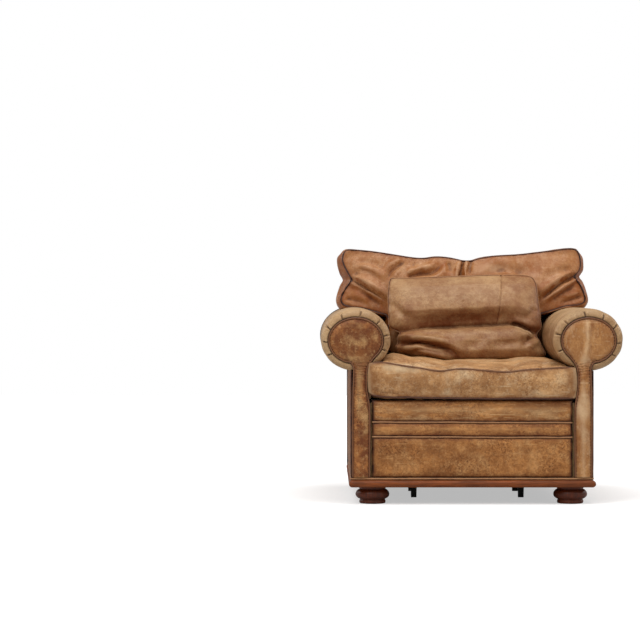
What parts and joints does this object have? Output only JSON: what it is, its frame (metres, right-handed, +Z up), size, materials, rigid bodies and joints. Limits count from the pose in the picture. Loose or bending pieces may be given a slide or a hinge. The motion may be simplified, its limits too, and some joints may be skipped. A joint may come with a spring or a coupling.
{
  "type": "club chair",
  "caption": "Worn leather club chair with pleated roll arms, piped facings, loose boxed cushions and a lumbar pillow, on a wooden plinth with bun feet.",
  "frame": {"origin": "on the floor, under the middle of the chair's bounding box", "axes": "+X to the sitter's left as seen from the front, so to the right in a front view; -Y out of the front; +Z up"},
  "size_m": [1.05, 0.942, 0.8988],
  "materials": {
    "leather_rolls": "pale, dry, worn aniline hide",
    "leather_facings": "mottled, rubbed and darkened hide",
    "leather_outside": "less worn brown hide",
    "leather_border": "mottled, speckled hide",
    "leather_seat": "pale, scuffed hide",
    "leather_back": "warm, polished hide",
    "leather_pillow": "creased hide, darker in the hollow",
    "piping": "dark worn piping",
    "turned_wood": "dark polished",
    "plinth_wood": "stained and polished",
    "frame_wood": "plain sawn",
    "black_wood": "painted black",
    "spring_steel": "drawn wire",
    "padding": "cotton wadding",
    "black_cloth": "plain woven cloth"
  },
  "bodies": {
    "root": {"arm_cover_right": "leather_rolls", "arm_cover_left": "leather_rolls", "arm_facing_right": "leather_facings", "arm_facing_left": "leather_facings", "side_panel_right": "leather_outside", "side_panel_left": "leather_outside", "outside_back": "leather_outside", "back_band": "leather_outside", "inside_back": "leather_outside", "front_border_lower": "leather_border", "front_border_middle": "leather_border", "front_border_upper": "leather_border", "seat_cushion": "leather_seat", "back_cushion": "leather_back", "lumbar_pillow": "leather_pillow", "arm_welt_right": "piping", "arm_welt_left": "piping", "border_welt_lower": "piping", "border_welt_upper": "piping", "base_welt": "piping", "foot_front_right": "turned_wood", "foot_front_left": "turned_wood", "foot_rear_right": "turned_wood", "foot_rear_left": "turned_wood", "plinth_front": "plinth_wood", "plinth_back": "plinth_wood", "plinth_right": "plinth_wood", "plinth_left": "plinth_wood", "corner_block_front_right": "frame_wood", "corner_block_front_left": "frame_wood", "corner_block_rear_right": "frame_wood", "corner_block_rear_left": "frame_wood", "centre_rail_right": "frame_wood", "centre_rail_left": "frame_wood", "front_post_right": "frame_wood", "front_post_left": "frame_wood", "rear_post_right": "frame_wood", "rear_post_left": "frame_wood", "arm_rail_right": "frame_wood", "arm_rail_left": "frame_wood", "side_rail_right": "frame_wood", "side_rail_left": "frame_wood", "front_rail": "frame_wood", "rear_rail": "frame_wood", "back_stile_right": "frame_wood", "back_stile_left": "frame_wood", "lumbar_rail": "frame_wood", "back_top_rail": "frame_wood", "centre_leg_front_right": "black_wood", "centre_leg_front_left": "black_wood", "centre_leg_rear_right": "black_wood", "centre_leg_rear_left": "black_wood", "seat_spring_1": "spring_steel", "seat_spring_2": "spring_steel", "seat_spring_3": "spring_steel", "seat_spring_4": "spring_steel", "arm_padding_right": "padding", "arm_padding_left": "padding", "seat_deck": "black_cloth", "dust_cover": "black_cloth"}
  },
  "joints": []
}
